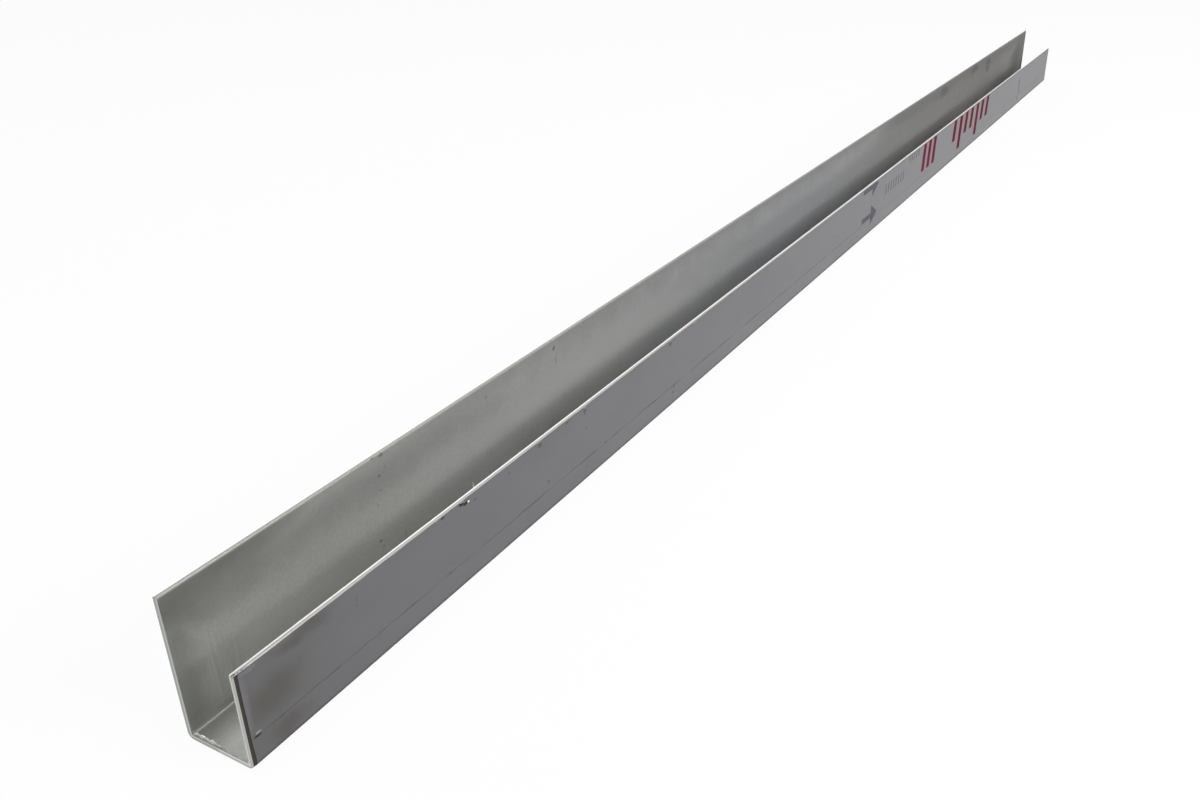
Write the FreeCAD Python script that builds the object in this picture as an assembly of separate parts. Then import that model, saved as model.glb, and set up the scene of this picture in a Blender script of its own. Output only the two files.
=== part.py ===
import FreeCAD, Part
import math
import os

# A press-braked stainless steel channel with one tall and one short flange, lying on its web with
# the open side up. Its length runs along X and the tall flange is on the +Y side. The sheet's
# protective film is still on the outer faces. Millimetres. The origin is under the middle of the web.

# The channel: a strip of sheet bent twice
LENGTH = 1000.0
WIDTH = 24.0
TALL_FLANGE = 45.0
SHORT_FLANGE = 30.0
SHEET_THICKNESS = 1.5
INSIDE_BEND_RADIUS = 0.5
SHEARED_EDGE_RADIUS = 0.15

# The film: it stops a little short of the cut edges, where the cutting heat drew it back
FILM_THICKNESS = 0.1
FILM_GAP_AT_ENDS = 1.2
FILM_GAP_AT_FREE_EDGES = 0.35

OUTSIDE_BEND_RADIUS = INSIDE_BEND_RADIUS + SHEET_THICKNESS
# The film lies between the floor and the web
WEB_UNDERSIDE = FILM_THICKNESS


def rounded_section(corners):
    """A face in the YZ plane from (y, z, radius) corners, each rounded by a tangent arc."""
    edges = []
    starts = []
    ends = []
    count = len(corners)
    for i, (y, z, radius) in enumerate(corners):
        corner = FreeCAD.Vector(0, y, z)
        before = FreeCAD.Vector(0, *corners[i - 1][:2])
        after = FreeCAD.Vector(0, *corners[(i + 1) % count][:2])
        if radius == 0:
            starts.append(corner)
            ends.append(corner)
            continue
        back = (before - corner).normalize()
        ahead = (after - corner).normalize()
        half_angle = back.getAngle(ahead) / 2
        reach = radius / math.tan(half_angle)
        inward = (back + ahead).normalize()
        centre = corner + inward * (radius / math.sin(half_angle))
        starts.append(corner + back * reach)
        ends.append(corner + ahead * reach)
        middle = centre - inward * radius
        edges.append((i, Part.Arc(starts[i], middle, ends[i]).toShape()))
    outline = []
    arcs = dict(edges)
    for i in range(count):
        if i in arcs:
            outline.append(arcs[i])
        outline.append(Part.LineSegment(ends[i], starts[(i + 1) % count]).toShape())
    return Part.Face(Part.Wire(outline))


def bar(section, length):
    """The section drawn out along X, with its middle at the origin."""
    section.translate(FreeCAD.Vector(-length / 2, 0, 0))
    return section.extrude(FreeCAD.Vector(length, 0, 0))


def make_channel():
    """One solid: web, two bends, tall flange and short flange."""
    outside = WIDTH / 2
    inside = outside - SHEET_THICKNESS
    web_top = WEB_UNDERSIDE + SHEET_THICKNESS
    tall_top = WEB_UNDERSIDE + TALL_FLANGE
    short_top = WEB_UNDERSIDE + SHORT_FLANGE
    section = rounded_section([
        (-outside, WEB_UNDERSIDE, OUTSIDE_BEND_RADIUS),
        (outside, WEB_UNDERSIDE, OUTSIDE_BEND_RADIUS),
        (outside, tall_top, SHEARED_EDGE_RADIUS),
        (inside, tall_top, SHEARED_EDGE_RADIUS),
        (inside, web_top, INSIDE_BEND_RADIUS),
        (-inside, web_top, INSIDE_BEND_RADIUS),
        (-inside, short_top, SHEARED_EDGE_RADIUS),
        (-outside, short_top, SHEARED_EDGE_RADIUS),
    ])
    return bar(section, LENGTH)


def make_protective_film():
    """One thin skin on the outer face of both flanges, both bends and the web."""
    steel_side = WIDTH / 2
    open_side = steel_side + FILM_THICKNESS
    tall_end = WEB_UNDERSIDE + TALL_FLANGE - FILM_GAP_AT_FREE_EDGES
    short_end = WEB_UNDERSIDE + SHORT_FLANGE - FILM_GAP_AT_FREE_EDGES
    section = rounded_section([
        (-open_side, 0, OUTSIDE_BEND_RADIUS + FILM_THICKNESS),
        (open_side, 0, OUTSIDE_BEND_RADIUS + FILM_THICKNESS),
        (open_side, tall_end, 0),
        (steel_side, tall_end, 0),
        (steel_side, WEB_UNDERSIDE, OUTSIDE_BEND_RADIUS),
        (-steel_side, WEB_UNDERSIDE, OUTSIDE_BEND_RADIUS),
        (-steel_side, short_end, 0),
        (-open_side, short_end, 0),
    ])
    return bar(section, LENGTH - 2 * FILM_GAP_AT_ENDS)


os.makedirs("parts", exist_ok=True)
NODES = {
    "channel": make_channel(),
    "protective_film": make_protective_film(),
}
for name, shape in NODES.items():
    shape.exportStep("parts/" + name + ".step")
    box = shape.BoundBox
    print(name, shape.ShapeType, "valid", shape.isValid(), "volume", round(shape.Volume, 1),
          "box", round(box.XLength, 3), round(box.YLength, 3), round(box.ZLength, 3))
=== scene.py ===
import math

import bmesh
import bpy
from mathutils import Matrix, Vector


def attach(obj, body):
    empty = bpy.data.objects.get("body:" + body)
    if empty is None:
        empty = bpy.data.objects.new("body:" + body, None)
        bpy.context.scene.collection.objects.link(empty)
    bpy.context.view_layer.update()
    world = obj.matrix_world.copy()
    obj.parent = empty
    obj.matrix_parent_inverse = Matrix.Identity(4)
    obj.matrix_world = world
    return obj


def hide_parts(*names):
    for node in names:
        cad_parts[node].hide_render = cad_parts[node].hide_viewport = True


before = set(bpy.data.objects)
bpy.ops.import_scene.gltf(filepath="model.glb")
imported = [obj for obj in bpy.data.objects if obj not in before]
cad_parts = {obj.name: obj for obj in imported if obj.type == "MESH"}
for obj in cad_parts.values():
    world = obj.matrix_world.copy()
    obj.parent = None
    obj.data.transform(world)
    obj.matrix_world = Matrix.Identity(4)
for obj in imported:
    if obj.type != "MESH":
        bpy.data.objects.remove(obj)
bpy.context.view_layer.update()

MM = 0.001

# The channel is one strip of stainless steel sheet, 1.5 mm thick, cold rolled with a dull mill finish.
# It was guillotined to length and folded twice on a press brake, so the bends are round outside and
# tight inside, the cut faces are bare bright metal, and the cutting left a burr at the near end.
channel_length = 1000 * MM
channel_width = 24 * MM
tall_flange = 45 * MM
short_flange = 30 * MM
sheet_thickness = 1.5 * MM
outside_bend_radius = 2.0 * MM
web_underside = 0.1 * MM
sheared_edge = 0.13 * MM
bend_steps = 10
past_bend = 0.3 * MM
same_place = 1e-6
web_top = web_underside + sheet_thickness
near_end = -channel_length / 2
far_end = channel_length / 2


def pick(kind, wanted):
    """Selects the vertices, edges or faces of the edited mesh that wanted says yes to."""
    mesh = bmesh.from_edit_mesh(bpy.context.object.data)
    bpy.ops.mesh.select_mode(type=kind)
    bpy.ops.mesh.select_all(action="DESELECT")
    parts = {"VERT": mesh.verts, "EDGE": mesh.edges, "FACE": mesh.faces}[kind]
    for part in parts:
        part.select_set(wanted(part))
    mesh.select_flush_mode()
    bmesh.update_edit_mesh(bpy.context.object.data)


def middle(edge):
    return (edge.verts[0].co + edge.verts[1].co) / 2


def runs_along_x(edge):
    a, b = edge.verts
    return abs(a.co.x - b.co.x) > 10 * (abs(a.co.y - b.co.y) + abs(a.co.z - b.co.z))


def finish_modifier(kind, **settings):
    """Adds a modifier to the active piece, sets it and applies it."""
    bpy.ops.object.modifier_add(type=kind)
    modifier = bpy.context.object.modifiers[-1]
    for name, value in settings.items():
        setattr(modifier, name, value)
    bpy.ops.object.modifier_apply(modifier=modifier.name)


def fold_sheet(name, length, width, underside, tall, short, bend_radius, rows):
    """A flat strip, its two sides folded up, with cross rows where the later shaping needs them."""
    bpy.ops.object.select_all(action="DESELECT")
    bpy.ops.mesh.primitive_plane_add(size=1, location=(0, 0, underside))
    sheet = bpy.context.object
    sheet.name = name
    bpy.ops.transform.resize(value=(length, width, 1))
    bpy.ops.object.transform_apply(location=True, rotation=True, scale=True)
    bpy.ops.object.mode_set(mode="EDIT")
    bpy.ops.mesh.select_all(action="SELECT")
    bpy.ops.mesh.flip_normals()
    for side, height in ((1, tall), (-1, short)):
        pick("EDGE", lambda e: abs(middle(e).y - side * width / 2) < same_place)
        bpy.ops.mesh.extrude_edges_move(TRANSFORM_OT_translate={"value": (0, 0, height)})
    pick("EDGE", lambda e: (abs(abs(middle(e).y) - width / 2) < same_place
                            and abs(middle(e).z - underside) < same_place))
    bpy.ops.mesh.bevel(offset=bend_radius, offset_type="OFFSET", segments=bend_steps, profile=0.5,
                       affect="EDGES")
    for height in rows:
        bpy.ops.mesh.select_all(action="SELECT")
        bpy.ops.mesh.bisect(plane_co=(0, 0, height), plane_no=(0, 0, 1))
    for side in (-1, 1):
        bpy.ops.mesh.select_all(action="SELECT")
        beside_bend = side * (width / 2 - bend_radius - past_bend)
        bpy.ops.mesh.bisect(plane_co=(0, beside_bend, 0), plane_no=(0, 1, 0))
    return sheet


def cut_along(cuts):
    """Divides every edge that runs along the channel."""
    pick("EDGE", runs_along_x)
    bpy.ops.mesh.subdivide(number_cuts=cuts)


flat_starts = web_underside + outside_bend_radius + past_bend
channel = fold_sheet("channel_bar", channel_length, channel_width, web_underside, tall_flange, short_flange,
                     outside_bend_radius, (flat_starts, 16 * MM, 29 * MM, 40 * MM, 44 * MM))
# Two hundred steps of 5 mm along the channel
cut_along(19)
cut_along(9)
bpy.ops.object.mode_set(mode="OBJECT")
for finish in ("cold_rolled_stainless_steel", "sheared_stainless_steel", "torn_stainless_steel"):
    channel.data.materials.append(bpy.data.materials.new(finish))
rolled_face, sheared_face, torn_face = 0, 1, 2
finish_modifier("SOLIDIFY", thickness=sheet_thickness, offset=-1, use_even_offset=True,
                use_quality_normals=True, material_offset_rim=sheared_face)
finish_modifier("BEVEL", width=sheared_edge, segments=2, limit_method="ANGLE",
                angle_limit=math.radians(40), material=sheared_face)

# The burr: a wavy lip of metal pushed up along the web's cut, from the tall flange to the middle
burr_from = -1.5 * MM
burr_to = 9.9 * MM
burr_height = 1.3 * MM
burr_thickness = 0.22 * MM
burr_x = near_end + 0.42 * MM
burr_root = 0.3 * MM
burr_steps = 60
bpy.ops.object.select_all(action="DESELECT")
bpy.ops.mesh.primitive_cube_add(size=1, location=(0, 0, 0))
burr = bpy.context.object
burr.name = "web_burr"
bpy.ops.transform.resize(value=(burr_thickness, burr_to - burr_from, burr_height + burr_root))
burr_middle = (burr_x, (burr_from + burr_to) / 2, web_top + (burr_height - burr_root) / 2)
bpy.ops.transform.translate(value=burr_middle)
bpy.ops.object.transform_apply(location=True, rotation=True, scale=True)
bpy.ops.object.mode_set(mode="EDIT")
pick("EDGE", lambda e: abs(e.verts[0].co.y - e.verts[1].co.y) > 5 * MM)
bpy.ops.mesh.subdivide(number_cuts=burr_steps)
burr_top = max(v.co.z for v in bmesh.from_edit_mesh(burr.data).verts)
pick("VERT", lambda v: v.co.z > burr_top - 0.1 * MM)
bpy.ops.transform.resize(value=(0.9, 1, 1), center_override=(burr_x, 0, 0))
bpy.ops.object.mode_set(mode="OBJECT")
top_group = burr.vertex_groups.new(name="top")
top_group.add([v.index for v in burr.data.vertices if v.co.z > burr_top - 0.1 * MM], 1, "REPLACE")
waves = bpy.data.textures.new("burr_waves", type="CLOUDS")
waves.noise_scale = 1.6 * MM
waves.noise_depth = 3
finish_modifier("DISPLACE", texture=waves, texture_coords="LOCAL", direction="Z", strength=1.8 * MM,
                mid_level=0.62, vertex_group="top")
finish_modifier("DISPLACE", texture=waves, texture_coords="LOCAL", direction="X", strength=0.7 * MM,
                mid_level=0.5)

# A thin sliver of steel stands up from the short flange's inner edge, 97 mm from the near end
sliver_middle = (near_end + 97 * MM, -10.65 * MM, web_underside + short_flange + 0.9 * MM)
bpy.ops.object.select_all(action="DESELECT")
bpy.ops.mesh.primitive_cone_add(vertices=6, radius1=0.2 * MM, radius2=0.08 * MM, depth=2.6 * MM,
                                location=sliver_middle)
sliver = bpy.context.object
sliver.name = "edge_sliver"
bpy.ops.transform.rotate(value=math.radians(2), orient_axis="Y", center_override=sliver.location)
bpy.ops.object.transform_apply(location=True, rotation=True, scale=True)
for piece in (burr, sliver):
    piece.data.materials.clear()
    for material in channel.data.materials:
        piece.data.materials.append(material)
    for face in piece.data.polygons:
        face.material_index = torn_face
bpy.ops.object.select_all(action="DESELECT")
burr.select_set(True)
sliver.select_set(True)
channel.select_set(True)
bpy.context.view_layer.objects.active = channel
bpy.ops.object.join()
bpy.ops.object.shade_smooth_by_angle(angle=math.radians(20))


def linear(colour):
    """A colour written as sRGB hex, turned to the linear values that Blender mixes."""
    parts = [int(colour[i:i + 2], 16) / 255 for i in (1, 3, 5)]
    return [p / 12.92 if p <= 0.04045 else ((p + 0.055) / 1.055) ** 2.4 for p in parts] + [1.0]


def node(tree, kind, settings, inputs):
    """Adds a node with its settings, and its inputs as values or as the outputs that feed them."""
    made = tree.nodes.new("ShaderNode" + kind)
    for name, value in settings.items():
        setattr(made, name, value)
    for name, value in inputs.items():
        if isinstance(value, bpy.types.NodeSocket):
            tree.links.new(value, made.inputs[name])
        else:
            made.inputs[name].default_value = value
    return made.outputs[2] if kind == "Mix" else made.outputs[0]


# A Mix node that mixes colours takes its share at input 0 and the colours at inputs 6 and 7
colour_mix = {"data_type": "RGBA"}
smoothly = {"interpolation_type": "SMOOTHSTEP"}


def blank(material):
    """Empties a material's node tree and gives the tree and the object-coordinate output."""
    material.use_nodes = True
    tree = material.node_tree
    tree.nodes.clear()
    place = tree.nodes.new("ShaderNodeTexCoord").outputs["Object"]
    return tree, place


def spot(tree, place, centre, radii, soft=0.5):
    """A soft oval patch, with its centre and its radii in millimetres. It is 0 at its radii and beyond,
    and it is 1 within a share of them, which soft gives."""
    centre = [c * MM for c in centre]
    radii = [r * MM for r in radii]
    shrunk = node(tree, "Mapping", {"vector_type": "TEXTURE"}, {
        "Vector": place, "Location": centre, "Scale": radii})
    distance = tree.nodes.new("ShaderNodeVectorMath")
    distance.operation = "LENGTH"
    tree.links.new(shrunk, distance.inputs[0])
    return node(tree, "MapRange", smoothly, {
        "Value": distance.outputs["Value"], "From Min": 1.0, "From Max": soft})


def most_of(tree, masks, share=1.0):
    """Joins several patches into one, with the stronger patch winning, and weakens it to a share."""
    joined = masks[0]
    for mask in masks[1:]:
        joined = node(tree, "Math", {"operation": "MAXIMUM"}, {0: joined, 1: mask})
    return node(tree, "Math", {"operation": "MULTIPLY"}, {0: joined, 1: share})


def roughened(tree, place, size, amount):
    """Shifts a place by noise, so that the edge of a patch isn't a clean line. The size of the noise
    and the amount of the shift are in millimetres."""
    noise = tree.nodes.new("ShaderNodeTexNoise")
    tree.links.new(place, noise.inputs["Vector"])
    noise.inputs["Scale"].default_value = 1 / (size * MM)
    noise.inputs["Detail"].default_value = 3.0
    centred = node(tree, "VectorMath", {"operation": "SUBTRACT"}, {
        0: noise.outputs["Color"], 1: (0.5, 0.5, 0.5)})
    shift = tree.nodes.new("ShaderNodeVectorMath")
    shift.operation = "SCALE"
    shift.inputs["Scale"].default_value = 2 * amount * MM
    tree.links.new(centred, shift.inputs[0])
    return node(tree, "VectorMath", {"operation": "ADD"}, {0: place, 1: shift.outputs[0]})


# The marks lie on the tall flange's inner face and the short flange's outer face, this many millimetres
# to the side
inner_y = 10.5
outer_y = -12

# Cold-rolled, annealed and pickled stainless steel: a grey metal with a hazy, even shine, a faint grain
# along the rolling direction, slow cloudy changes of tone, and here a few streaks, smears, specks and
# stains. Light and shade are painted on it too: lighter patches, a highlight along the top of the tall
# flange's inner face, and shade along that top, at both ends and on the web.
steel, place = blank(channel.data.materials[rolled_face])
axes = steel.nodes.new("ShaderNodeSeparateXYZ")
steel.links.new(place, axes.inputs[0])
x, y, z = axes.outputs
grain_place = node(steel, "Mapping", {}, {"Vector": place, "Scale": (60, 2500, 2500)})
grain = node(steel, "TexNoise", {}, {"Vector": grain_place, "Scale": 1.0, "Detail": 3.0})
cloud_place = node(steel, "Mapping", {}, {"Vector": place, "Scale": (18, 60, 60)})
clouds = node(steel, "TexNoise", {}, {"Vector": cloud_place, "Scale": 1.0, "Detail": 5.0, "Roughness": 0.6})
cloud_share = node(steel, "MapRange", {}, {"Value": clouds, "From Min": 0.35, "From Max": 0.65})
near_tone = node(steel, "Mix", colour_mix, {0: cloud_share, 6: linear("#dadbd8"), 7: linear("#dedfdc")})
along = node(steel, "MapRange", {}, {"Value": x, "From Min": -0.45, "From Max": -0.1, "To Max": 0.85})
steel_tone = node(steel, "Mix", colour_mix, {0: along, 6: near_tone, 7: linear("#dddee0")})
far_along = node(steel, "MapRange", {}, {"Value": x, "From Min": -0.05, "From Max": 0.25})
steel_tone = node(steel, "Mix", colour_mix, {0: far_along, 6: steel_tone, 7: linear("#dedddb")})
# A very fine speckle, as acid pickling leaves it
speckle_place = node(steel, "Mapping", {}, {"Vector": place, "Scale": (1200, 1200, 1200)})
speckle = node(steel, "TexNoise", {}, {"Vector": speckle_place, "Scale": 1.0, "Detail": 2.0})
speckle_share = node(steel, "MapRange", {}, {
    "Value": speckle, "From Min": 0.35, "From Max": 0.65, "To Max": 0.12})
steel_tone = node(steel, "Mix", colour_mix, {0: speckle_share, 6: steel_tone, 7: linear("#868682")})
# Painted light: the low part of the tall flange's inner face near the near end and in the far half, a patch
# half-way up it in the near half, and the tight bends are painted lighter
endless = 1e6
bends = [spot(steel, place, (0, side * 10.2, 1.9), (endless, 1.1, 1.1)) for side in (-1, 1)]
painted_light_patches = most_of(steel, bends + [
    most_of(steel, [spot(steel, place, (-478, inner_y, 11), (90, 8, 11), 0.3)], 0.7),
    spot(steel, place, (310, inner_y, 12), (130, 8, 11), 0.4),
    most_of(steel, [spot(steel, place, (-290, inner_y, 27), (170, 8, 12), 0.2)], 0.65),
], 0.75)
steel_tone = node(steel, "Mix", colour_mix, {0: painted_light_patches, 6: steel_tone, 7: linear("#f2f2ef")})
# Painted shade: the tall flange's inner face is painted darker along its top and at both ends, and the web
# all along, most at the near end
shade_and_stain_place = roughened(steel, place, 12, 2.5)
shade_axes = steel.nodes.new("ShaderNodeSeparateXYZ")
steel.links.new(shade_and_stain_place, shade_axes.inputs[0])
shade_x, _, shade_z = shade_axes.outputs
narrow_band = node(steel, "MapRange", smoothly, {
    "Value": shade_z, "From Min": 32 * MM, "From Max": 46 * MM, "To Max": 0.55})
far_half = node(steel, "MapRange", smoothly, {
    "Value": shade_x, "From Min": -30 * MM, "From Max": 110 * MM, "To Max": 0.64})
wide_band = node(steel, "MapRange", smoothly, {
    "Value": shade_z, "From Min": 28 * MM, "From Max": 42 * MM, "To Max": far_half})
far_end_band = node(steel, "MapRange", smoothly, {
    "Value": shade_x, "From Min": 424 * MM, "From Max": 473 * MM, "To Max": 0.7})
near_end_band = node(steel, "MapRange", smoothly, {
    "Value": shade_x, "From Min": -489 * MM, "From Max": -498 * MM, "To Max": node(steel, "MapRange", {}, {
        "Value": z, "From Min": 2.6 * MM, "From Max": 6 * MM, "To Min": 0.15, "To Max": 0.45})})
web_painted_shade = node(steel, "MapRange", {}, {
    "Value": z, "From Min": 2.6 * MM, "From Max": 1.8 * MM, "To Max": 0.27})
painted_shade = most_of(steel, [
    narrow_band, wide_band, far_end_band, near_end_band, web_painted_shade,
    most_of(steel, [spot(steel, place, (-503, -8, 1.6), (30, 13, 3), 0.2)], 0.45),
    most_of(steel, [spot(steel, shade_and_stain_place, (-480, 9, 1.6), (18, 6, 3), 0.3)], 0.27),
    spot(steel, shade_and_stain_place, (506, inner_y, 12), (23, 8, 24)),
    most_of(steel, [spot(steel, shade_and_stain_place, (-450, inner_y, 52), (190, 8, 24))], 0.5),
    most_of(steel, [spot(steel, shade_and_stain_place, (-503, inner_y, 53), (110, 8, 28), 0.35)], 0.85),
])
steel_tone = node(steel, "Mix", colour_mix, {0: painted_shade, 6: steel_tone, 7: linear("#6c6c68")})
# Painted highlight: the top margin of that face is painted a little brighter, mostly in the near half
top_margin_highlight = node(steel, "MapRange", smoothly, {
    "Value": z, "From Min": 44.1 * MM, "From Max": 45 * MM, "To Max": node(steel, "MapRange", {}, {
        "Value": x, "From Min": -0.3, "From Max": 0.1, "To Min": 0.55, "To Max": 0.1})})
steel_tone = node(steel, "Mix", colour_mix, {0: top_margin_highlight, 6: steel_tone, 7: linear("#e4e4e0")})
# Faint streaks down the tall flange's inner face, a centimetre from the near end
streak_place = node(steel, "Mapping", {}, {"Vector": place, "Scale": (900, 1, 60)})
streaks = node(steel, "TexNoise", {}, {"Vector": streak_place, "Scale": 1.0, "Detail": 3.0})
streaked = most_of(steel, [spot(steel, place, (-487, inner_y, 13), (12, 8, 17), 0.2)], 0.12)
streak_share = node(steel, "MapRange", {}, {
    "Value": streaks, "From Min": 0.42, "From Max": 0.62, "To Max": streaked})
steel_tone = node(steel, "Mix", colour_mix, {0: streak_share, 6: steel_tone, 7: linear("#4c4a42")})
# Dark specks and short smears on the tall flange's inner face, most of them about 80 mm from the near end
ragged_place = roughened(steel, place, 1.2, 0.6)
specks = most_of(steel, [
    spot(steel, ragged_place, (-419.0, inner_y, 44.1), (1.3, 2, 0.7)),
    spot(steel, ragged_place, (-422.7, inner_y, 44.6), (0.8, 2, 0.4)),
    spot(steel, ragged_place, (-420.7, inner_y, 37.8), (0.8, 2, 0.6)),
    spot(steel, ragged_place, (-423.7, inner_y, 16.3), (1.2, 2, 0.5)),
    spot(steel, ragged_place, (-324.0, inner_y, 41.5), (1.2, 2, 1.2)),
], 0.5)
faint_specks = most_of(steel, [
    spot(steel, ragged_place, (-417.8, inner_y, 39.7), (0.9, 2, 0.6)),
    spot(steel, ragged_place, (-422.7, inner_y, 28.5), (0.7, 2, 0.6)),
    spot(steel, ragged_place, (-420.8, inner_y, 32.9), (0.6, 2, 0.5)),
    spot(steel, ragged_place, (-422.8, inner_y, 13.8), (0.7, 2, 0.7)),
    spot(steel, ragged_place, (-412.5, inner_y, 12.3), (0.5, 2, 1.8)),
    spot(steel, ragged_place, (-323.1, inner_y, 36.5), (0.8, 2, 2.2)),
    spot(steel, ragged_place, (-366.3, inner_y, 40.2), (1.0, 2, 1.0)),
], 0.22)
# Brownish stains under the top of the tall flange, in the far half
stains = most_of(steel, [
    spot(steel, shade_and_stain_place, (214, inner_y, 39), (12, 4, 5)),
    spot(steel, shade_and_stain_place, (305, inner_y, 41), (14, 4, 4)),
    spot(steel, shade_and_stain_place, (352, inner_y, 37), (10, 4, 7)),
], 0.3)
steel_tone = node(steel, "Mix", colour_mix, {0: stains, 6: steel_tone, 7: linear("#5a4a3e")})
dark_marks = most_of(steel, [specks, faint_specks])
steel_tone = node(steel, "Mix", colour_mix, {0: dark_marks, 6: steel_tone, 7: linear("#3f3c37")})
# Outside, the bare strips where the film has drawn back are painted dark brown: beside the cut ends, and
# above the film on the short flange. The last two millimetres of the far end are dark inside too.
from_end = node(steel, "Math", {"operation": "SUBTRACT"}, {0: channel_length / 2, 1: node(
    steel, "Math", {"operation": "ABSOLUTE"}, {0: x})})
beside_cut = node(steel, "MapRange", smoothly, {
    "Value": from_end, "From Min": 2.0 * MM, "From Max": 1.3 * MM})
by_free_edge = node(steel, "MapRange", {}, {
    "Value": z, "From Min": 29.2 * MM, "From Max": 29.5 * MM, "To Max": node(steel, "MapRange", {}, {
        "Value": y, "From Min": 0.0, "From Max": -1 * MM, "To Max": 0.6})})
outer_side = node(steel, "MapRange", {}, {
    "Value": node(steel, "Math", {"operation": "ABSOLUTE"}, {0: y}),
    "From Min": 11.0 * MM, "From Max": 11.6 * MM})
bare_strips = node(steel, "Math", {"operation": "MULTIPLY"}, {
    0: most_of(steel, [beside_cut, by_free_edge]), 1: outer_side})
last_of_far_end = node(steel, "MapRange", smoothly, {
    "Value": x, "From Min": far_end - 2.5 * MM, "From Max": far_end - 1 * MM, "To Max": 0.6})
browned = most_of(steel, [bare_strips, last_of_far_end])
steel_colour = node(steel, "Mix", colour_mix, {0: browned, 6: steel_tone, 7: linear("#4c4842")})
shine = node(steel, "MapRange", {}, {
    "Value": clouds, "From Min": 0.3, "From Max": 0.7, "To Min": 0.49, "To Max": 0.51})
relief = node(steel, "Bump", {}, {"Strength": 0.2, "Distance": 0.02 * MM, "Height": grain})
surface = steel.nodes.new("ShaderNodeBsdfPrincipled")
surface.inputs["Metallic"].default_value = 1.0
# The haze keeps the metal from turning white where it is seen almost edge on
surface.inputs["Specular Tint"].default_value = linear("#a6a6a6")
steel.links.new(steel_colour, surface.inputs["Base Color"])
steel.links.new(shine, surface.inputs["Roughness"])
steel.links.new(relief, surface.inputs["Normal"])
steel.links.new(surface.outputs[0], steel.nodes.new("ShaderNodeOutputMaterial").inputs[0])

# The same steel where the guillotine parted it: brighter, with fine marks across the thickness
cut, place = blank(channel.data.materials[sheared_face])
mark_place = node(cut, "Mapping", {}, {"Vector": place, "Scale": (2500, 2500, 2500)})
marks = node(cut, "TexNoise", {}, {"Vector": mark_place, "Scale": 1.0, "Detail": 4.0})
mark_share = node(cut, "MapRange", {}, {"Value": marks, "From Min": 0.35, "From Max": 0.65})
cut_tone = node(cut, "Mix", colour_mix, {0: mark_share, 6: linear("#a3a19c"), 7: linear("#b8b6b2")})
cut_axes = cut.nodes.new("ShaderNodeSeparateXYZ")
cut.links.new(place, cut_axes.inputs[0])
x, y, z = cut_axes.outputs
# How deep in the sheet a point of the cut lies, from the outside of the fold to its inside
depth = node(cut, "Math", {"operation": "MINIMUM"}, {
    0: node(cut, "Math", {"operation": "SUBTRACT"}, {0: z, 1: web_underside}),
    1: node(cut, "Math", {"operation": "SUBTRACT"}, {0: channel_width / 2, 1: node(
        cut, "Math", {"operation": "ABSOLUTE"}, {0: y})})})
# The short flange's slit edge is painted paler than the tall flange's, as painted light. The slit edges
# have a bright line, inside on the short flange, outside on the tall one, painted near white: partly real
# burnish and partly a painted highlight.
short_side = node(cut, "MapRange", {}, {"Value": y, "From Min": 1 * MM, "From Max": 0.0})
tall_side = node(cut, "MapRange", {}, {"Value": y, "From Min": 0.0, "From Max": 1 * MM})
cut_tone = node(cut, "Mix", colour_mix, {0: short_side, 6: cut_tone, 7: linear("#cac9c6")})
burnish_and_highlight = most_of(cut, [
    node(cut, "MapRange", {}, {
        "Value": depth, "From Min": 0.85 * MM, "From Max": 1.05 * MM, "To Max": short_side}),
    node(cut, "MapRange", {}, {
        "Value": depth, "From Min": 0.55 * MM, "From Max": 0.35 * MM, "To Max": tall_side}),
])
cut_tone = node(cut, "Mix", colour_mix, {0: burnish_and_highlight, 6: cut_tone, 7: linear("#ffffff")})
# The cut ends are painted greyer than the slit edges, as painted shade, and paler on the short flange's
# side, as painted light, with a paler inner part and a thin dark line where the two parts meet
outer_part = node(cut, "Mix", colour_mix, {0: short_side, 6: linear("#9a9e9a"), 7: linear("#aeb2ae")})
inner_part = node(cut, "Mix", colour_mix, {0: short_side, 6: linear("#b2b6b3"), 7: linear("#c9cdca")})
inner_share = node(cut, "MapRange", {}, {"Value": depth, "From Min": 0.75 * MM, "From Max": 0.95 * MM})
end_tone = node(cut, "Mix", colour_mix, {0: inner_share, 6: outer_part, 7: inner_part})
off_seam = node(cut, "Math", {"operation": "ABSOLUTE"}, {0: node(
    cut, "Math", {"operation": "SUBTRACT"}, {0: depth, 1: 0.8 * MM})})
seam = node(cut, "MapRange", {}, {
    "Value": off_seam, "From Min": 0.18 * MM, "From Max": 0.06 * MM, "To Max": 0.5})
end_tone = node(cut, "Mix", colour_mix, {0: seam, 6: end_tone, 7: linear("#7b7e7b")})
on_end = node(cut, "MapRange", {}, {
    "Value": node(cut, "Math", {"operation": "ABSOLUTE"}, {0: x}),
    "From Min": far_end - 0.14 * MM, "From Max": far_end - 0.05 * MM})
cut_colour = node(cut, "Mix", colour_mix, {0: on_end, 6: cut_tone, 7: end_tone})
# Glue and a torn shred of the film have soiled the short flange's corner at the near end
corner_place = roughened(cut, place, 0.8, 0.3)
shred = most_of(cut, [spot(cut, corner_place, (-496.8, outer_y, 30), (2.2, 0.8, 1), 0.3)], 0.8)
cut_colour = node(cut, "Mix", colour_mix, {0: shred, 6: cut_colour, 7: linear("#a3a2ab")})
soiled = most_of(cut, [
    spot(cut, corner_place, (-499.4, -11.6, 30), (1.0, 0.8, 1), 0.3),
    spot(cut, corner_place, (-498.4, -11.8, 30), (0.6, 0.45, 1), 0.3),
    spot(cut, corner_place, (-497.2, -11.9, 30), (0.6, 0.4, 1), 0.3),
], 0.7)
cut_colour = node(cut, "Mix", colour_mix, {0: soiled, 6: cut_colour, 7: linear("#55524f")})
cut_relief = node(cut, "Bump", {}, {"Strength": 0.3, "Distance": 0.05 * MM, "Height": marks})
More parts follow.
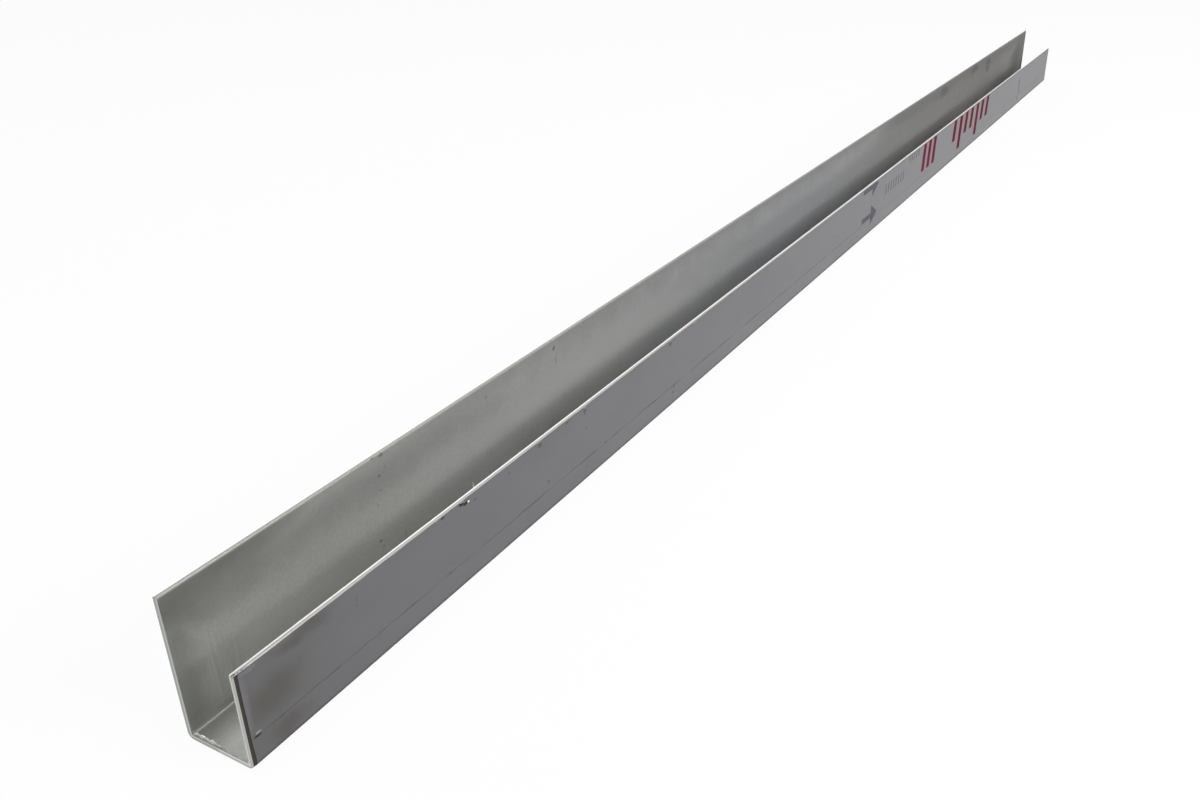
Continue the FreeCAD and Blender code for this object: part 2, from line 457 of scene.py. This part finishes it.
surface = cut.nodes.new("ShaderNodeBsdfPrincipled")
surface.inputs["Metallic"].default_value = 1.0
cut_shine = node(cut, "MapRange", {}, {"Value": burnish_and_highlight, "To Min": 0.38, "To Max": 0.2})
cut.links.new(cut_shine, surface.inputs["Roughness"])
cut.links.new(cut_colour, surface.inputs["Base Color"])
cut.links.new(cut_relief, surface.inputs["Normal"])
cut.links.new(surface.outputs[0], cut.nodes.new("ShaderNodeOutputMaterial").inputs[0])

# The same steel where it was torn, at the burr and the sliver: grey and rough, with a painted highlight
# along its crest
torn, place = blank(channel.data.materials[torn_face])
tear_place = node(torn, "Mapping", {}, {"Vector": place, "Scale": (1500, 1500, 1500)})
tears = node(torn, "TexNoise", {}, {"Vector": tear_place, "Scale": 1.0, "Detail": 4.0})
tear_share = node(torn, "MapRange", {}, {"Value": tears, "From Min": 0.35, "From Max": 0.65})
torn_tone = node(torn, "Mix", colour_mix, {0: tear_share, 6: linear("#a6a6a2"), 7: linear("#cacac6")})
torn_axes = torn.nodes.new("ShaderNodeSeparateXYZ")
torn.links.new(place, torn_axes.inputs[0])
# Painted highlight: the crest is painted paler
crest_highlight = node(torn, "MapRange", {}, {
    "Value": torn_axes.outputs["Z"], "From Min": web_top + 0.9 * MM, "From Max": web_top + 1.2 * MM})
torn_tone = node(torn, "Mix", colour_mix, {0: crest_highlight, 6: torn_tone, 7: linear("#dededb")})
torn_relief = node(torn, "Bump", {}, {"Strength": 0.4, "Distance": 0.1 * MM, "Height": tears})
surface = torn.nodes.new("ShaderNodeBsdfPrincipled")
surface.inputs["Metallic"].default_value = 1.0
surface.inputs["Roughness"].default_value = 0.4
torn.links.new(torn_tone, surface.inputs["Base Color"])
torn.links.new(torn_relief, surface.inputs["Normal"])
torn.links.new(surface.outputs[0], torn.nodes.new("ShaderNodeOutputMaterial").inputs[0])

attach(channel, "root")
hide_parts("channel")

# The protective film is a grey polyethylene sheet 0.1 mm thick (0.09 here, to stay inside the solid), stuck
# to the mill sheet before it was folded, so it goes round both bends. The die pressed a line into it above
# each bend, the cutting drew its edges back, and its top edges are ragged and nicked.
film_thickness = 0.09 * MM
film_width = channel_width + 2 * film_thickness
film_underside = web_underside - film_thickness
gap_at_ends = 1.2 * MM
gap_at_free_edges = 0.35 * MM
film_length = channel_length - 2 * gap_at_ends
short_top = web_underside + short_flange
tall_top = web_underside + tall_flange
die_line_height = 9.2 * MM
die_line_width = 0.3 * MM
die_line_depth = 0.03 * MM
film = fold_sheet(
    "film_skin", film_length, film_width, film_underside,
    tall_top - gap_at_free_edges - film_underside, short_top - gap_at_free_edges - film_underside,
    outside_bend_radius + film_thickness,
    (flat_starts, die_line_height - die_line_width, die_line_height - die_line_width / 2, die_line_height,
     die_line_height + die_line_width / 2, die_line_height + die_line_width, 26 * MM, 41 * MM))
# A thousand steps of a millimetre along the channel
cut_along(49)
cut_along(19)
for side in (-1, 1):
    pick("VERT", lambda v: abs(v.co.z - die_line_height) < same_place and v.co.y * side > 0)
    bpy.ops.transform.translate(value=(0, -side * die_line_depth, 0))
for finish in ("grey_polyethylene_film", "grey_ink_on_film", "pale_grey_ink_on_film", "red_ink_on_film"):
    film.data.materials.append(bpy.data.materials.new(finish))
plain_film, grey_ink, pale_ink, red_ink = 0, 1, 2, 3
short_flange_outside = -11.9 * MM


def print_mark(ink, corners):
    """Cuts one printed shape into the film on the short flange and inks it. The corners are
    (mm from the near end, mm of height), in order round a shape with no dents."""
    corners = [Vector((near_end + a * MM, 0, b * MM)) for a, b in corners]
    low_x = min(c.x for c in corners) - 1.5 * MM
    high_x = max(c.x for c in corners) + 1.5 * MM
    centre = sum(corners, Vector()) / len(corners)
    sides = []
    for start, end in zip(corners, corners[1:] + corners[:1]):
        across = Vector((start.z - end.z, 0, end.x - start.x)).normalized()
        if across.dot(centre - start) < 0:
            across = -across
        sides.append((start, across))

    def on_short_flange(face):
        middle_of_face = face.calc_center_median()
        return middle_of_face.y < short_flange_outside and low_x < middle_of_face.x < high_x

    for start, across in sides:
        pick("FACE", on_short_flange)
        bpy.ops.mesh.bisect(plane_co=start, plane_no=across)
    pick("FACE", lambda f: on_short_flange(f) and all(
        across.dot(f.calc_center_median() - start) > 0 for start, across in sides))
    bpy.context.object.active_material_index = ink
    bpy.ops.object.material_slot_assign()


def leaning_bar(ink, left, low, width, high=31, lean=2.5):
    print_mark(ink, [(left, low), (left + width, low), (left + width + lean, high), (left + lean, high)])


# Plain marks: two arrows along the channel, two rows of small ticks, and leaning bars. The slitting and
# folding cut some of them off at the top edge.
for arrow_height in (11.5, 28.5):
    print_mark(grey_ink, [(462, arrow_height - 1.5), (478, arrow_height - 1.5), (478, arrow_height + 1.5),
                          (462, arrow_height + 1.5)])
    print_mark(grey_ink, [(478, arrow_height - 6), (489, arrow_height), (478, arrow_height + 6)])
for tick in range(8):
    leaning_bar(pale_ink, 504 + 5 * tick, 17, 1.4, 23, 0.5)
for tick in range(5):
    leaning_bar(pale_ink, 551 + 5 * tick, 25, 1.4, 31, 0.5)
for bar in range(3):
    leaning_bar(red_ink, 581 + 12 * bar, 12, 6.5)
for bar in range(7):
    leaning_bar(red_ink, 657 + 16 * bar, 7 if bar % 3 == 1 else 15, 7.5)

edge_margin = 1 * MM


def on_short_edge(vertex):
    return vertex.co.y < 0 and vertex.co.z > short_top - edge_margin


bpy.ops.object.mode_set(mode="OBJECT")
free_edges = film.vertex_groups.new(name="free_edges")
free_edges.add([v.index for v in film.data.vertices
                if v.co.z > tall_top - edge_margin or on_short_edge(v)], 1, "REPLACE")
cut_edges = film.vertex_groups.new(name="cut_edges")
cut_edges.add([v.index for v in film.data.vertices
               if abs(v.co.x) > film_length / 2 - 0.1 * MM], 1, "REPLACE")
raggedness = bpy.data.textures.new("film_raggedness", type="CLOUDS")
raggedness.noise_scale = 6 * MM
raggedness.noise_depth = 1
finish_modifier("DISPLACE", texture=raggedness, texture_coords="LOCAL", direction="Z", strength=0.5 * MM,
                mid_level=0.5, vertex_group="free_edges")
finish_modifier("DISPLACE", texture=raggedness, texture_coords="LOCAL", direction="X", strength=0.5 * MM,
                mid_level=0.5, vertex_group="cut_edges")


def nick(from_near_end, width, depth):
    """Pushes a short length of the film's edge on the short flange down. Millimetres."""
    nick_x = near_end + from_near_end * MM
    pick("VERT", lambda v: on_short_edge(v) and abs(v.co.x - nick_x) < width / 2 * MM)
    bpy.ops.transform.translate(value=(0, 0, -depth * MM))


bpy.ops.object.mode_set(mode="EDIT")
nick(2.6, 3, 0.15)
nick(45.5, 3, 0.15)
nick(58.5, 2, 0.2)
nick(78.5, 3, 0.3)
nick(89, 2, 0.5)
nick(131.5, 3, 0.3)
nick(148.5, 2.5, 0.3)
nick(160.5, 2.2, 0.5)
nick(225.5, 3.5, 0.5)
nick(248.5, 4, 0.5)
nick(298.5, 10, 0.3)
nick(362.5, 3, 0.4)
nick(422.5, 3, 0.3)
bpy.ops.object.mode_set(mode="OBJECT")
finish_modifier("SOLIDIFY", thickness=film_thickness, offset=-1, use_even_offset=True,
                use_quality_normals=True)
bpy.ops.object.shade_smooth_by_angle(angle=math.radians(25))


# Grey polyethylene film: a satin plastic with a cool, faintly lilac grey, a very fine orange peel,
# a darker, browner near end with brownish smudges, dark marks at the nicks, a dark line where the die
# pressed it, painted shade along the bend and at a curled tear and a blister, and painted highlights on
# those two.
def finish_film(material, dark_tone, light_tone, roughness=0.37, shine=0.55):
    """The film's surface in one colour; the printed inks share its surface, its marks and its painted light
    and shade.
    """
    tree, place = blank(material)
    axes = tree.nodes.new("ShaderNodeSeparateXYZ")
    tree.links.new(place, axes.inputs[0])
    x, _, z = axes.outputs
    cloud_place = node(tree, "Mapping", {}, {"Vector": place, "Scale": (22, 60, 60)})
    clouds = node(tree, "TexNoise", {}, {
        "Vector": cloud_place, "Scale": 1.0, "Detail": 5.0, "Roughness": 0.6})
    cloud_share = node(tree, "MapRange", {}, {"Value": clouds, "From Min": 0.35, "From Max": 0.65})
    tone = node(tree, "Mix", colour_mix, {0: cloud_share, 6: linear(dark_tone), 7: linear(light_tone)})
    # The film is darker and browner towards the near end, with brownish smudges there
    darkening_and_smudge_place = roughened(tree, place, 9, 4)
    near_end_darkening = most_of(tree, [spot(tree, darkening_and_smudge_place, (-510, outer_y, 14), (75, 9, 40), 0.1)], 0.56)
    tone = node(tree, "Mix", colour_mix, {0: near_end_darkening, 6: tone, 7: linear("#413e39")})
    smudges = most_of(tree, [
        spot(tree, darkening_and_smudge_place, (-490, outer_y, 17), (14, 6, 9), 0.1),
        spot(tree, darkening_and_smudge_place, (-478, outer_y, 28.0), (14, 6, 3.5), 0.2),
        spot(tree, darkening_and_smudge_place, (-487, outer_y, 5), (11, 6, 5), 0.2),
    ], 0.62)
    tone = node(tree, "Mix", colour_mix, {0: smudges, 6: tone, 7: linear("#343128")})
    # The film has come loose along its edge at the near end and looks paler there
    edge_place = roughened(tree, place, 2.5, 0.8)
    loose = spot(tree, edge_place, (-499, outer_y, 20), (2.6, 2, 14), 0.3)
    loose_share = most_of(tree, [loose, spot(tree, edge_place, (-496, outer_y, 29.2), (4, 2, 1.2))], 0.2)
    tone = node(tree, "Mix", colour_mix, {0: loose_share, 6: tone, 7: linear("#7f7e89")})
    # Painted shade: the bend is painted darker where it turns under
    bend_shade = node(tree, "MapRange", smoothly, {
        "Value": z, "From Min": 2.6 * MM, "From Max": 1.0 * MM, "To Max": 0.85})
    tone = node(tree, "Mix", colour_mix, {0: bend_shade, 6: tone, 7: linear("#37373c")})
    # The die's line is painted dark, wanders a little, breaks up and fades towards the far end
    wave_place = node(tree, "Mapping", {}, {"Vector": place, "Scale": (110, 0, 0)})
    wave = node(tree, "TexNoise", {}, {"Vector": wave_place, "Scale": 1.0, "Detail": 2.0})
    line_height = node(tree, "MapRange", {}, {
        "Value": wave, "From Min": 0.3, "From Max": 0.7,
        "To Min": die_line_height - 0.25 * MM, "To Max": die_line_height + 0.25 * MM})
    off_line = node(tree, "Math", {"operation": "ABSOLUTE"}, {0: node(
        tree, "Math", {"operation": "SUBTRACT"}, {0: z, 1: line_height})})
    line_share = node(tree, "MapRange", {}, {
        "Value": off_line, "From Min": 0.4 * MM, "From Max": 0.1 * MM, "To Max": 0.5})
    broken_place = node(tree, "Mapping", {}, {"Vector": place, "Scale": (60, 1, 1)})
    broken = node(tree, "TexNoise", {}, {"Vector": broken_place, "Scale": 1.0, "Detail": 3.0})
    faded = node(tree, "MapRange", {}, {
        "Value": x, "From Min": -0.25, "From Max": 0.1, "To Min": 1.0, "To Max": 0.2})
    line_strength = node(tree, "MapRange", {}, {
        "Value": broken, "From Min": 0.4, "From Max": 0.6, "To Min": 0.15, "To Max": faded})
    line_share = node(tree, "Math", {"operation": "MULTIPLY"}, {0: line_share, 1: line_strength})
    # Dark marks at nicks, most of them along the top edge, and fainter specks. The marks at the curled tear
    # 89 to 91 mm from the near end and under the blister by the near end are painted shade.
    ragged_place = roughened(tree, place, 0.9, 0.35)
    nick_marks_and_shade = most_of(tree, [
        spot(tree, ragged_place, (-411.1, outer_y, 29.2), (1.5, 2, 1.0)),
        spot(tree, ragged_place, (-409.0, outer_y, 28.3), (2.0, 2, 0.7)),
        spot(tree, ragged_place, (-420.3, outer_y, 29.3), (1.4, 2, 0.4)),
        spot(tree, ragged_place, (-496.8, outer_y, 9.2), (1.7, 2, 0.4)),
    ])
    specks = most_of(tree, [
        spot(tree, ragged_place, (-386.2, outer_y, 27.0), (0.7, 2, 0.7)),
        spot(tree, ragged_place, (-364.6, outer_y, 12.5), (0.8, 2, 0.8)),
        spot(tree, ragged_place, (-339.4, outer_y, 21.3), (0.5, 2, 0.5)),
        spot(tree, ragged_place, (-340.4, outer_y, 6.0), (0.6, 2, 0.6)),
        spot(tree, ragged_place, (-272.7, outer_y, 6.3), (0.9, 2, 0.9)),
        spot(tree, ragged_place, (-458.0, outer_y, 23.1), (0.35, 2, 0.5)),
        spot(tree, ragged_place, (-458.0, outer_y, 25.3), (0.35, 2, 0.5)),
        spot(tree, ragged_place, (-419.5, outer_y, 9.3), (0.9, 2, 0.6)),
        spot(tree, ragged_place, (-326.5, outer_y, 9.3), (0.9, 2, 0.6)),
        spot(tree, ragged_place, (-271.5, outer_y, 8.3), (0.9, 2, 0.5)),
        spot(tree, ragged_place, (-368.5, outer_y, 28.4), (1.6, 2, 1.2)),
        spot(tree, ragged_place, (-340.0, outer_y, 28.5), (1.1, 2, 2.2)),
        spot(tree, ragged_place, (-351.5, outer_y, 29.0), (1.2, 2, 0.8)),
        spot(tree, ragged_place, (-275.0, outer_y, 28.4), (1.8, 2, 1.1)),
        spot(tree, ragged_place, (-404.5, outer_y, 27.3), (1.2, 2, 0.4)),
        spot(tree, edge_place, (376.5, outer_y, 19), (3.2, 2, 7), 0.1),
        spot(tree, edge_place, (378.5, outer_y, 12), (2.6, 2, 4.5), 0.1),
        spot(tree, edge_place, (375.5, outer_y, 6.5), (2.2, 2, 3), 0.1),
    ], 0.4)
    dark_marks = most_of(tree, [line_share, nick_marks_and_shade, specks])
    colour = node(tree, "Mix", colour_mix, {0: dark_marks, 6: tone, 7: linear("#1f1c1b")})
    # Painted highlights on the curled tear and on the blister
    painted_highlights = most_of(tree, [
        spot(tree, ragged_place, (-407.7, outer_y, 28.3), (0.6, 2, 0.45)),
        most_of(tree, [spot(tree, ragged_place, (-496.4, outer_y, 10.1), (1.2, 2, 0.4))], 0.2),
    ])
    colour = node(tree, "Mix", colour_mix, {0: painted_highlights, 6: colour, 7: linear("#f2f0ee")})
    peel = node(tree, "TexNoise", {}, {"Vector": place, "Scale": 900.0, "Detail": 3.0})
    blister = most_of(tree, [
        spot(tree, ragged_place, (-495.8, outer_y, 9.6), (1.3, 2, 0.6), 0.0),
        spot(tree, ragged_place, (-212, outer_y, 9.2), (2.2, 2, 0.9), 0.0),
    ])
    height = node(tree, "Math", {"operation": "MULTIPLY_ADD"}, {0: blister, 1: 12.0, 2: peel})
    relief = node(tree, "Bump", {}, {"Strength": 0.15, "Distance": 0.03 * MM, "Height": height})
    surface = tree.nodes.new("ShaderNodeBsdfPrincipled")
    surface.inputs["IOR"].default_value = 1.5
    surface.inputs["Specular IOR Level"].default_value = shine
    dull_share = most_of(tree, [dark_marks, bend_shade])
    marked_shine = node(tree, "MapRange", {}, {"Value": dull_share, "To Min": roughness, "To Max": 1.0})
    tree.links.new(colour, surface.inputs["Base Color"])
    tree.links.new(marked_shine, surface.inputs["Roughness"])
    tree.links.new(relief, surface.inputs["Normal"])
    tree.links.new(surface.outputs[0], tree.nodes.new("ShaderNodeOutputMaterial").inputs[0])


finish_film(film.data.materials[plain_film], "#525255", "#57575b")
finish_film(film.data.materials[grey_ink], "#484a50", "#505258", 0.7, 0.2)
finish_film(film.data.materials[pale_ink], "#3e3e44", "#45454b", 0.6, 0.35)
finish_film(film.data.materials[red_ink], "#5b1428", "#65192d", 0.9, 0.1)

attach(film, "root")
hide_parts("protective_film")

# The floor is a plain white sheet of studio paper. It shows as white to the camera and in the metal,
# and it keeps a faint shadow where the channel lies on it.
floor_white = 0.95
bpy.ops.object.select_all(action="DESELECT")
bpy.ops.mesh.primitive_plane_add(size=60, location=(0, 0, 0))
floor = bpy.context.object
floor.name = "studio_floor"
floor.data.materials.append(bpy.data.materials.new("white_studio_paper"))
paper, place = blank(floor.data.materials[0])
rays = paper.nodes.new("ShaderNodeLightPath")
seen = node(paper, "Math", {"operation": "MAXIMUM"}, {0: rays.outputs["Is Camera Ray"], 1: node(
    paper, "Math", {"operation": "MAXIMUM"}, {
        0: rays.outputs["Is Glossy Ray"], 1: rays.outputs["Is Transmission Ray"]})})
share = node(paper, "Math", {"operation": "MULTIPLY"}, {0: seen, 1: floor_white})
matt = node(paper, "BsdfDiffuse", {}, {"Color": linear("#e6e6e6")})
glow = node(paper, "Emission", {}, {"Color": (1, 1, 1, 1), "Strength": 1.0})
shown = node(paper, "MixShader", {}, {0: share, 1: matt, 2: glow})
paper.links.new(shown, paper.nodes.new("ShaderNodeOutputMaterial").inputs[0])

# Soft studio light: a dim surround with a pale wall on the tall flange's side, which the slit edges show,
# one softbox overhead, and three on the short flange's side, which light the inside over that flange.
world = bpy.data.worlds.new("studio_surround")
bpy.context.scene.world = world
world.use_nodes = True
surround = world.node_tree
surround.nodes.clear()
direction = surround.nodes.new("ShaderNodeTexCoord").outputs["Generated"]
parts = surround.nodes.new("ShaderNodeSeparateXYZ")
surround.links.new(direction, parts.inputs[0])
wall_side = node(surround, "MapRange", smoothly, {
    "Value": parts.outputs["Y"], "From Min": 0.02, "From Max": 0.2})
wall_top = node(surround, "MapRange", smoothly, {
    "Value": parts.outputs["Z"], "From Min": 0.75, "From Max": 0.55})
wall = node(surround, "Math", {"operation": "MULTIPLY"}, {0: wall_side, 1: wall_top})
strength = node(surround, "MapRange", {}, {"Value": wall, "To Min": 0.15, "To Max": 1.3})
background = node(surround, "Background", {}, {"Color": (1, 1, 1, 1), "Strength": strength})
surround.links.new(background, surround.nodes.new("ShaderNodeOutputWorld").inputs[0])


def softbox(name, place, width, height, power):
    bpy.ops.object.light_add(type="AREA", location=place)
    lamp = bpy.context.object
    lamp.name = name
    lamp.data.shape = "RECTANGLE"
    lamp.data.size = width
    lamp.data.size_y = height
    lamp.data.energy = power
    facing = Vector((place[0], 0, 0.02)) - lamp.location
    lamp.rotation_euler = facing.to_track_quat("-Z", "Y").to_euler()


softbox("overhead_softbox", (-0.3, 0, 1.4), 1.0, 0.6, 7.5)
softbox("low_side_softbox", (-0.1, -1.1, 0.35), 1.8, 0.15, 1.0)
softbox("middle_side_softbox", (0.1, -1.1, 0.55), 1.2, 0.2, 9.3)
softbox("high_side_softbox", (-0.15, -1.1, 0.85), 0.7, 0.25, 8.0)

# The camera stands a little beyond the near end, on the short flange's side, looking along the channel.
camera_data = bpy.data.cameras.new("camera")
camera_data.lens = 32.418
camera_data.sensor_width = 36
camera_data.clip_start = 0.01
camera = bpy.data.objects.new("camera", camera_data)
bpy.context.scene.collection.objects.link(camera)
camera.location = (-0.6249, -0.19339, 0.20064)
camera.rotation_euler = [math.radians(a) for a in (63.4954, 1.7004, -59.3036)]
bpy.context.scene.camera = camera
bpy.context.scene.view_settings.view_transform = "Standard"
